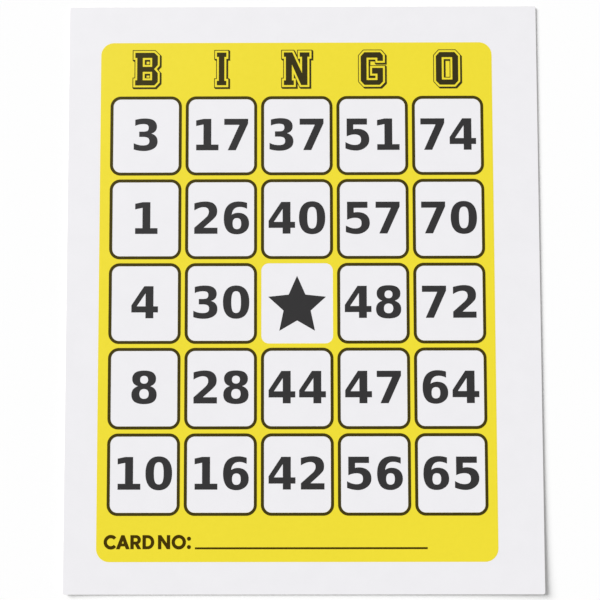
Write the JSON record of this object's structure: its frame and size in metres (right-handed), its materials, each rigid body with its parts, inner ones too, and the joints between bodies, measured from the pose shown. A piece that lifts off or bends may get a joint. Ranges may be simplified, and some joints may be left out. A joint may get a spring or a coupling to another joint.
{
  "type": "bingo card",
  "caption": "Flat rectangular paper bingo card: a yellow printed panel with a square grid of framed numbers under head letters, a starred free cell and a line to write on.",
  "frame": {"origin": "centre of the sheet's back face, which rests on the table", "axes": "+Z out of the printed face, +Y towards the head letters, +X to the right of the print"},
  "size_m": [0.15, 0.1856, 0.0004],
  "materials": {
    "coated_card": "satin",
    "yellow_ink": "satin",
    "black_ink_on_card": "satin",
    "black_ink_on_yellow": "satin"
  },
  "bodies": {
    "root": {"card_sheet": "coated_card", "yellow_panel": "yellow_ink", "letter_b": "black_ink_on_yellow", "letter_i": "black_ink_on_yellow", "letter_n": "black_ink_on_yellow", "letter_g": "black_ink_on_yellow", "letter_o": "black_ink_on_yellow", "frame_b1": "black_ink_on_yellow", "frame_b2": "black_ink_on_yellow", "frame_b3": "black_ink_on_yellow", "frame_b4": "black_ink_on_yellow", "frame_b5": "black_ink_on_yellow", "frame_i1": "black_ink_on_yellow", "frame_i2": "black_ink_on_yellow", "frame_i3": "black_ink_on_yellow", "frame_i4": "black_ink_on_yellow", "frame_i5": "black_ink_on_yellow", "frame_n1": "black_ink_on_yellow", "frame_n2": "black_ink_on_yellow", "frame_n4": "black_ink_on_yellow", "frame_n5": "black_ink_on_yellow", "frame_g1": "black_ink_on_yellow", "frame_g2": "black_ink_on_yellow", "frame_g3": "black_ink_on_yellow", "frame_g4": "black_ink_on_yellow", "frame_g5": "black_ink_on_yellow", "frame_o1": "black_ink_on_yellow", "frame_o2": "black_ink_on_yellow", "frame_o3": "black_ink_on_yellow", "frame_o4": "black_ink_on_yellow", "frame_o5": "black_ink_on_yellow", "write_in_label": "black_ink_on_yellow", "write_in_rule": "black_ink_on_yellow", "number_b1": "black_ink_on_card", "number_b2": "black_ink_on_card", "number_b3": "black_ink_on_card", "number_b4": "black_ink_on_card", "number_b5": "black_ink_on_card", "number_i1": "black_ink_on_card", "number_i2": "black_ink_on_card", "number_i3": "black_ink_on_card", "number_i4": "black_ink_on_card", "number_i5": "black_ink_on_card", "number_n1": "black_ink_on_card", "number_n2": "black_ink_on_card", "number_n4": "black_ink_on_card", "number_n5": "black_ink_on_card", "number_g1": "black_ink_on_card", "number_g2": "black_ink_on_card", "number_g3": "black_ink_on_card", "number_g4": "black_ink_on_card", "number_g5": "black_ink_on_card", "number_o1": "black_ink_on_card", "number_o2": "black_ink_on_card", "number_o3": "black_ink_on_card", "number_o4": "black_ink_on_card", "number_o5": "black_ink_on_card", "free_star": "black_ink_on_card"}
  },
  "joints": []
}
